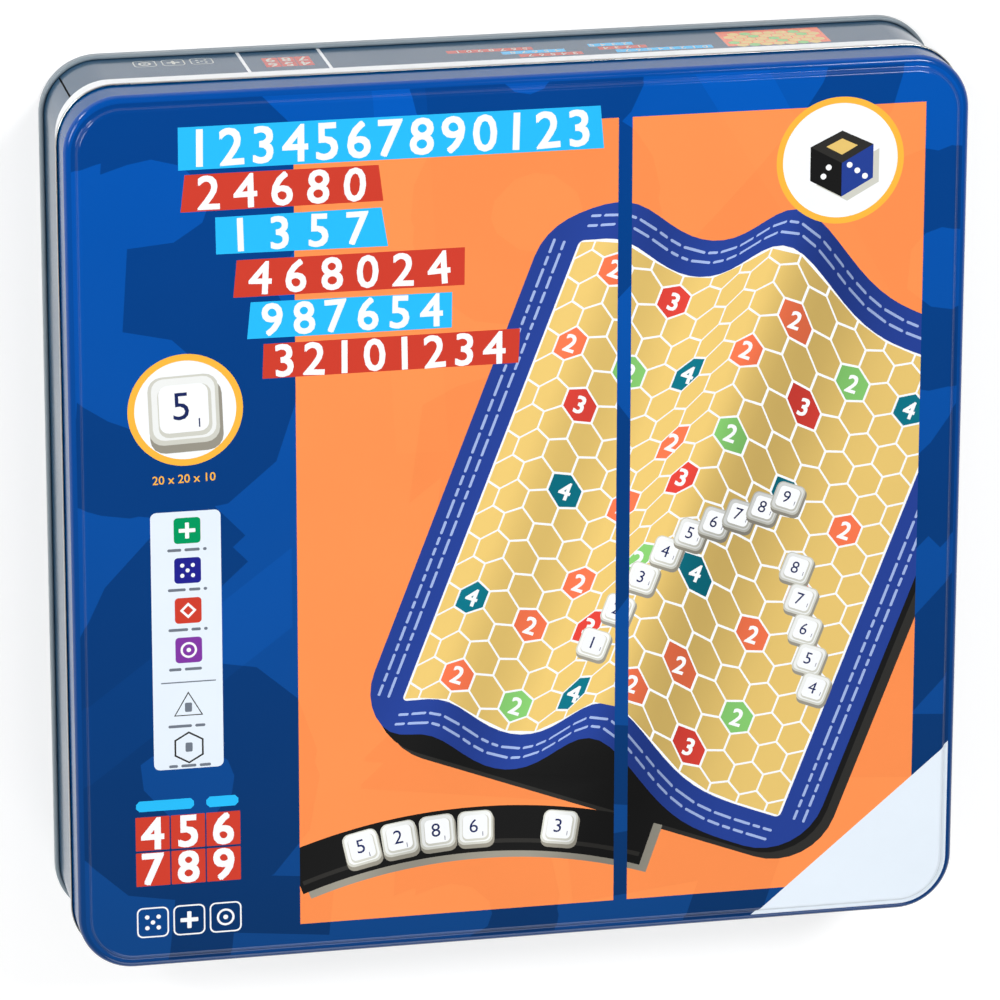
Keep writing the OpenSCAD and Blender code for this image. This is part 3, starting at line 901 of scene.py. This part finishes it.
def backMarks():
    # x runs to the right for someone who faces the back
    marks = wallBand()
    for x in (46.5, 68):
        addMark(marks, [(x - 0.45, 0), (x + 0.45, 0), (x + 0.45, 27), (x - 0.45, 27)], "white")
    for column, digits in enumerate(("47", "58", "69")):
        for row, digit in enumerate(digits):
            x, y = 52.2 + column * 4.3, 16.6 - row * 4.9
            addBox(marks, "red", x, y, 4.1, 4.7, 0.1)
            addText(marks, digit, x, y, 3.7, "bone", 0, 0.02)
    for x, which in ((78.5, "pips"), (86, "cross"), (93.5, "ring")):
        addFramedIcon(marks, x, 9.2, [(6, 1.2, "bone"), (5.4, 0.9, "wallNavy")], 3.4, "bone", which)
    strips = ((-56, -30, 20.2, "cyan"), (-39, -26, 16.6, "red"), (-36, -24, 13, "cyan"),
              (-21, -4, 20.2, "red"), (-17, 0, 16.6, "cyan"), (-9, 14, 13, "red"))
    for k, (x0, x1, z, ink) in enumerate(strips):
        addMark(marks, [(x0, z - 1.5), (x1, z - 1.5), (x1, z + 1.5), (x0, z + 1.5)], ink)
        for i in range(int((x1 - x0) / 3)):
            addText(marks, str((i + k) % 10), x0 + 2 + i * 3, z, 2.2, "bone", 0, 0.01)
    addMark(marks, [(-88, 6), (-60, 6), (-60, 21.5), (-88, 21.5)], "coral")
    for row, column, u, v in honeycomb(11, 6, 1.9):
        addMark(marks, hexagon(u - 74, v + 15, 1.7), "tan" if (row + column) % 4 else "green")
    return marks


def buildWall():
    shape = newShape()
    hx, hz, hr = wall["hook"]
    ex, ez = wall["hookEnd"]
    outer, inner = bentSheet([(ex, ez, 0, -180, -180), (hx, hz, hr, 0, -180),
                              (wall["out"] - wall["mouth"], wall["mouthZ"] - wall["mouth"],
                               wall["mouth"] - tin["sheet"] / 2, 0, 280)], tin["sheet"])
    foot = next(i for i in range(len(outer) - 1) if outer[i + 1][1] - outer[i][1] > 20)
    low, high = outer[foot], outer[foot + 1]
    band = (wall["out"], wall["bandFoot"], 1, 0)
    section = outer[:foot + 1] + [band] + outer[foot + 1:]
    run = tin["cornerSteps"] + 1

    def onFlatSide(station, row):
        # the flat sides get a printed panel of their own
        return station % run == run - 1 and row in (foot, foot + 1)

    addSweep(shape, around, section, wallInk, 0, False, onFlatSide)
    reach = tin["half"] - tin["corner"]
    side = tin["half"] + wall["out"]
    for k, (dx, dy) in enumerate(((1, 0), (0, 1), (-1, 0), (0, -1))):
        def place(u, z, dx=dx, dy=dy):
            return (dx * side - dy * u, dy * side + dx * u, z), (dx, dy, 0)
        outline = [(-reach, low[1]), (reach, low[1]), (reach, high[1]), (-reach, high[1])]
        addPrint(shape, outline, backMarks() if k == 1 else wallBand(), place, markInk("wallNavy"))
    addSweep(shape, around, inner, plainInk("bone"), 1, True)
    # the dark joint of the folded side seam, at the back left corner
    radius = tin["corner"] + wall["out"] + 0.02
    spots = []
    for edge in (-0.5, 0.5):
        a = math.radians(wall["seamTurn"]) + edge * wall["seamWidth"] / radius
        for z in (3, wall["bandFoot"]):
            spot = (radius * math.cos(a) - reach, radius * math.sin(a) + reach, z)
            spots.append(addPoint(shape, spot, (math.cos(a), math.sin(a), 0)))
    addFace(shape, [spots[0], spots[2], spots[3], spots[1]], inks["seam"], 2)
    buildPiece("tinWall", shape, [wallTin, bareTin, seamShade], "case", "wall_print", "body_wall")


buildWall()

# Base: folded round the wall's hook, its middle raised
base = {"border": 2.075, "middle": 2.875, "bend": 0.8, "foot": 0.5, "inner": -1.275, "outer": 0.325,
        "width": 9}


def buildBase():
    shape = newShape()
    turn = math.degrees(math.acos(1 - (base["middle"] - base["border"]) / (2 * base["bend"])))
    foot = base["foot"] - tin["sheet"] / 2
    start = base["inner"] - base["bend"] - base["width"]
    end = start - 2 * base["bend"] * math.sin(math.radians(turn))
    inside, outside = bentSheet([
        (wall["hook"][0], wall["hook"][1], 0, 0, 0), (*wall["hookEnd"], 0.4, 180, 0),
        (base["outer"] - foot, base["foot"], foot, 0, -90),
        (base["inner"] + foot, base["foot"], foot, -90, -180),
        (base["inner"] - base["bend"], base["border"] - base["bend"], base["bend"], 0, 90),
        (start, base["border"] + base["bend"], base["bend"], -90, -90 - turn),
        (end, base["middle"] - base["bend"], base["bend"], 90 - turn, 90)], tin["sheet"])
    addSweep(shape, around, inside, plainInk("bone"), 1)
    # outside of the base: light slate ink, partly its own colour and partly painted reflection, lightened to
    # match the wall's sheen and give the seam's roll a pale line
    addSweep(shape, around, outside, plainInk("slateInkAndSheen"), 0, True)
    addCap(shape, around, inside[-1][0], inside[-1][1], 1, inks["bone"], 1)
    addCap(shape, around, outside[-1][0], outside[-1][1], -1, inks["slateInkAndSheen"], 0)
    buildPiece("tinBase", shape, [baseTin, bareTin], "case", "base_print", "base_panel")


buildBase()

# Letter tiles: a broad foot, a ledge and a raised face with a printed capital
tile = {"side": 20, "height": 10, "corner": 4, "foot": 6.8, "ledge": 1.4, "slope": 0.9, "faceEdge": 3.2,
        "letters": "ABCDEFGHIJKLMNOPQRSTUVWXYZ", "letterHeight": 7.8, "shift": 0.1, "turn": 0.35}


def addTile(shape, cx, cy, z, letter, worth):
    turn = random.uniform(-tile["turn"], tile["turn"])
    cx, cy = cx + random.uniform(-1, 1) * tile["shift"], cy + random.uniform(-1, 1) * tile["shift"]
    half = tile["side"] / 2
    stations = ringStations(half, half, tile["corner"], 6, cx, cy, turn)
    inward = tile["ledge"] + tile["slope"]
    section = filletLine([(-1.4, 0, 0), (0, 0, 0.7), (0, tile["foot"], 0.9),
                          (-tile["ledge"], tile["foot"], 0.3),
                          (-inward, tile["height"], 0.7), (-tile["faceEdge"], tile["height"], 0)])
    section = [(x, z + height, nx, nz) for x, height, nx, nz in section]
    addSweep(shape, stations, section, plainInk("ivory"))
    addCap(shape, stations, -1.4, z, -1, inks["ivory"])
    c, s = math.cos(math.radians(turn)), math.sin(math.radians(turn))

    def place(u, v):
        return (cx + u * c - v * s, cy + u * s + v * c, z + tile["height"]), (0, 0, 1)

    marks = []
    addText(marks, letter, -0.7, 1.0, tile["letterHeight"], "letter")
    addText(marks, worth, 4.6, -4.3, 2.4, "letter")
    outline = [(x, y) for x, y, dx, dy in ringStations(half - tile["faceEdge"], half - tile["faceEdge"],
                                                      tile["corner"] - tile["faceEdge"], 6)]
    addPrint(shape, outline, marks, place, markInk("ivory"))


def buildTiles():
    random.seed(20)
    rows = sorted(n for n in nodes if n.startswith("tile_row"))
    for number, row in enumerate(rows):
        low, high = (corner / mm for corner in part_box(row))
        shape = newShape()
        step = (high.x - low.x - tile["side"]) / 4
        for layer, z in enumerate((low.z, high.z - tile["height"])):
            for column in range(5):
                index = number * 5 + column + (1 - layer) * 50
                addTile(shape, low.x + tile["side"] / 2 + step * column, (low.y + high.y) / 2, z,
                        tile["letters"][index % 26], str(1 + index * 7 % 5))
        name = "letterTiles" + str(number + 1).zfill(2)
        buildPiece(name, shape, [tilePlastic], "tiles", "tile_plastic", row)


buildTiles()

# Play mat: one sheet of foam rubber with a printed cloth face, folded in half and in half again
mat = {"side": 385, "thick": 2.5, "firstFold": 1.375, "secondFold": 2.75, "firstAxis": 2.75,
       "secondAxis": 5.5, "corner": 22, "cell": 13.2, "border": 30, "edgeCuts": 240}


def foldedPoint(u, v, out, box):
    # where a point of the flat sheet comes to lie; out is its distance from the middle of the sheet
    low, high = box
    r = mat["firstFold"]
    if abs(v) <= math.pi / 2 * r:
        y, side, sideMiddle = -(r + out) * math.cos(v / r), (r + out) * math.sin(v / r), r * math.sin(v / r)
    else:
        y, side, sideMiddle = abs(v) - math.pi / 2 * r, math.copysign(r + out, v), math.copysign(r, v)
    reach, reachMiddle = mat["secondFold"] + side, mat["secondFold"] + sideMiddle
    if abs(u) <= math.pi / 2 * reachMiddle:
        x, z = -reach * math.cos(u / reachMiddle), reach * math.sin(u / reachMiddle)
    else:
        x, z = abs(u) - math.pi / 2 * reachMiddle, math.copysign(reach, u)
    return Vector((low.x + mat["secondAxis"] + x, low.y + mat["firstAxis"] + y, (low.z + high.z) / 2 + z))


def matMarks():
    marks = []
    half = mat["side"] / 2
    field = half - mat["border"]
    addBox(marks, "white", 0, 0, 2 * field + 4, 2 * field + 4, 5)
    for side in (1, -1):
        for line, seed in ((mat["border"] * 0.62, 4), (mat["border"] * 0.36, 6)):
            edge = side * (half - line)
            addDashes(marks, -field, edge, field, edge, 1.5, "pale", seed + side)
            addDashes(marks, edge, -field, edge, field, 1.5, "pale", seed + 2 * side)
    addHoneycomb(marks, field, field, mat["cell"], 0.9, onLid, 0)
    return marks


def buildMat():
    box = tuple(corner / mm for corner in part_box("play_mat"))
    shape = newShape()
    half = mat["side"] / 2
    folds = [k * 0.9 for k in range(-9, 10)]
    lines = [((k, -half - 5), (k, half + 5)) for k in folds]
    lines += [((-half - 5, k * 0.3), (half + 5, k * 0.3)) for k in folds]
    outline = []
    corners = [station[:2] for station in ringStations(half, half, mat["corner"], 10)]
    for a, b in zip(corners, corners[1:] + corners[:1]):
        outline += cutUp(a, b, 1 if math.hypot(b[0] - a[0], b[1] - a[1]) < 30 else mat["edgeCuts"])
    spot = foldedPoint(60, 60, 1, box)
    across, along = foldedPoint(60.1, 60, 1, box) - spot, foldedPoint(60, 60.1, 1, box) - spot
    facing = 1 if across.cross(along).z > 0 else -1
    for out, finish, marks in ((mat["thick"] / 2, 0, matMarks()), (-mat["thick"] / 2, 1, [])):
        def place(u, v, out=out):
            du = foldedPoint(u + 0.05, v, out, box) - foldedPoint(u - 0.05, v, out, box)
            dv = foldedPoint(u, v + 0.05, out, box) - foldedPoint(u, v - 0.05, out, box)
            normal = du.cross(dv) * (1 if out > 0 else -1)
            return tuple(foldedPoint(u, v, out, box)), tuple(normal * facing)
        addPrint(shape, outline, marks, place, markInk("navy" if marks else "black"), (), lines, finish,
                 (out > 0) == (facing < 0))
    rims = []
    for u, v in outline:
        a, b = foldedPoint(u, v, mat["thick"] / 2, box), foldedPoint(u, v, -mat["thick"] / 2, box)
        grown = foldedPoint(u * 1.002, v * 1.002, 0, box) - foldedPoint(u, v, 0, box)
        rims.append((addPoint(shape, tuple(a), tuple(grown)), addPoint(shape, tuple(b), tuple(grown))))
    for i, (a, b) in enumerate(rims):
        c, d = rims[(i + 1) % len(rims)]
        addFace(shape, [a, b, d, c], inks["black"], 1, facing < 0)
    piece = buildPiece("playMat", shape, [matCloth, matFoam], "mat", "mat_rubber", "play_mat")


buildMat()

# Leaflet: three sheets of paper nested round one fold, the cover printed with plain lines
leaflet = {"sheets": 3, "paper": 0.14, "step": 0.19}


def buildLeaflet():
    low, high = (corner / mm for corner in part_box("rules_leaflet"))
    shape = newShape()
    middle, thick = (low.z + high.z) / 2, leaflet["paper"]
    outer = (high.z - low.z) / 2 - thick / 2 - 0.01
    fold = low.x + outer + thick / 2 + 0.01
    bend = [(math.cos(math.radians(a)), math.sin(math.radians(a))) for a in range(90, 271, 15)]
    for number in range(leaflet["sheets"]):
        r = outer - number * leaflet["step"]
        end = high.x - low.x - 0.2 - number * 0.25
        path = [(low.x + end, middle + r, 0, 1)]
        path += [(fold + r * c, middle + r * s, c, s) for c, s in bend]
        path.append((low.x + end, middle - r, 0, -1))
        for side in (1, -1):
            out = side * thick / 2
            near, far = ([addPoint(shape, (x + nx * out, y, z + nz * out), (nx * side, 0, nz * side))
                          for x, z, nx, nz in path] for y in (low.y + 0.05, high.y - 0.05))
            for i in range(len(path) - 1):
                # the cover's outside is a printed panel of its own
                if number or side < 0 or i:
                    addFace(shape, [near[i], near[i + 1], far[i + 1], far[i]], inks["ivory"], 0, side > 0)
    z = middle + outer + thick / 2
    x0, x1, y0, y1 = fold, high.x - 0.2, low.y + 0.05, high.y - 0.05
    cx = (x0 + x1) / 2
    marks = []
    addBox(marks, "cyan", cx, y1 - 22, 96, 20, 2)
    addText(marks, "1 2 3", cx, y1 - 22, 11, "white", 0, 0.02)
    addBox(marks, "tan", cx, y1 - 70, 60, 60, 4)
    addHoneycomb(marks, 28, 28, 5.2, 0.5, lambda u, v: (u + cx, v + y1 - 70), 0, "", "ivory")
    for line in range(13):
        y = y0 + 78 - line * 5.4
        addDashes(marks, cx - 56, y, cx + (56 if line % 5 else 22), y, 1.3, "grey", line)
    cover = [(x0, y0), (x1, y0), (x1, y1), (x0, y1)]
    addPrint(shape, cover, marks, lambda x, y: ((x, y, z), (0, 0, 1)), markInk("ivory"))
    buildPiece("rulesLeaflet", shape, [paper], "leaflet", "leaflet_paper", "rules_leaflet")


buildLeaflet()

# Tray and racks keep their CAD shape; the racks' rounded edges come from a bevel
rack = {"edge": 0.35, "segments": 3, "angle": 35}
for name in ("insert_tray", "rack_1", "rack_2", "rack_3", "rack_4"):
    node, isRack = nodes[name], name.startswith("rack")
    node.data.materials.clear()
    node.data.materials.append(rackPlastic if isRack else trayPlastic)
    if isRack:
        bevel = node.modifiers.new("softEdges", "BEVEL")
        bevel.width, bevel.segments, bevel.limit_method = rack["edge"] * mm, rack["segments"], "ANGLE"
        bevel.angle_limit, bevel.harden_normals = math.radians(rack["angle"]), True
print("tray and racks finished")


# Stage: pale floor, soft lamps, white surroundings
stage = {"floorSize": 8, "floorWhite": 0.62, "nearGlow": 0.5, "farGlow": 0.75, "near": 0.25, "far": 1.5,
         "skyLight": 0.4, "skyTop": 0.1}
lamps = {"keyLamp": ((0.9, 1.1, 1.9), 0.6, 25), "fillLamp": ((-1.6, 0.4, 1.5), 0.8, 15.5),
         "frontLamp": ((0.2, -1.7, 1.3), 1.2, 11.5), "glintLamp": ((-1.5, 1.3, 0.75), 0.4, 13)}


def seenDirectly(tree):
    # 1 for rays from the camera, from mirrors and through glass
    path = addNode(tree, "ShaderNodeLightPath")
    total = (path, "Is Camera Ray")
    for label in ("Is Glossy Ray", "Is Transmission Ray"):
        total = (addNode(tree, "ShaderNodeMath", operation="MAXIMUM", In0=total, In1=(path, label)), "Value")
    return total


def makeStage():
    scene = bpy.context.scene
    mesh = bpy.data.meshes.new("tableTop")
    s = stage["floorSize"] / 2
    mesh.from_pydata([(-s, -s, 0), (s, -s, 0), (s, s, 0), (-s, s, 0)], [], [(0, 1, 2, 3)])
    floor = bpy.data.objects.new("tableTop", mesh)
    scene.collection.objects.link(floor)
    finish = bpy.data.materials.new("tableTop")
    finish.use_nodes = True
    tree = finish.node_tree
    tree.nodes.clear()
    mesh.materials.append(finish)
    plain = addNode(tree, "ShaderNodeBsdfDiffuse", Color=(stage["floorWhite"],) * 3 + (1,))
    # the glow is weaker round the object, so that its shadow shows
    spot = addNode(tree, "ShaderNodeNewGeometry")
    away = addNode(tree, "ShaderNodeVectorMath", operation="LENGTH", In0=(spot, "Position"))
    rising = addNode(tree, "ShaderNodeMapRange", Value=(away, "Value"), From_Min=stage["near"],
                     From_Max=stage["far"], To_Min=stage["nearGlow"], To_Max=stage["farGlow"])
    strength = addNode(tree, "ShaderNodeMath", operation="MULTIPLY", In0=seenDirectly(tree),
                       In1=(rising, "Result"))
    glow = addNode(tree, "ShaderNodeEmission", Strength=(strength, "Value"))
    both = addNode(tree, "ShaderNodeAddShader", In0=(plain, "BSDF"), In1=(glow, "Emission"))
    addNode(tree, "ShaderNodeOutputMaterial", Surface=(both, "Shader"))

    world = bpy.data.worlds.new("studio")
    scene.world = world
    world.use_nodes = True
    tree = world.node_tree
    tree.nodes.clear()
    # an even sky for lighting; where it is seen or mirrored, white at the horizon and dimmer overhead
    place = addNode(tree, "ShaderNodeTexCoord")
    parts = addNode(tree, "ShaderNodeSeparateXYZ", Vector=(place, "Generated"))
    fade = addNode(tree, "ShaderNodeMapRange", Value=(parts, "Z"), From_Min=0.05, From_Max=0.5, To_Min=1,
                   To_Max=stage["skyTop"])
    light = addNode(tree, "ShaderNodeBackground", Strength=stage["skyLight"])
    shown = addNode(tree, "ShaderNodeBackground", Strength=(fade, "Result"))
    mixed = addNode(tree, "ShaderNodeMixShader", Fac=seenDirectly(tree), In1=(light, "Background"),
                    In2=(shown, "Background"))
    addNode(tree, "ShaderNodeOutputWorld", Surface=(mixed, "Shader"))

    for name, (place, size, watts) in lamps.items():
        lamp = bpy.data.lights.new(name, "AREA")
        lamp.shape, lamp.size, lamp.energy = "DISK", size, watts
        holder = bpy.data.objects.new(name, lamp)
        holder.location = place
        holder.rotation_mode = "QUATERNION"
        holder.rotation_quaternion = (-Vector(place)).to_track_quat("-Z", "Y")
        scene.collection.objects.link(holder)
    scene.view_settings.view_transform = "Standard"


makeCamera()
makeStage()
print("camera, floor and lamps placed")
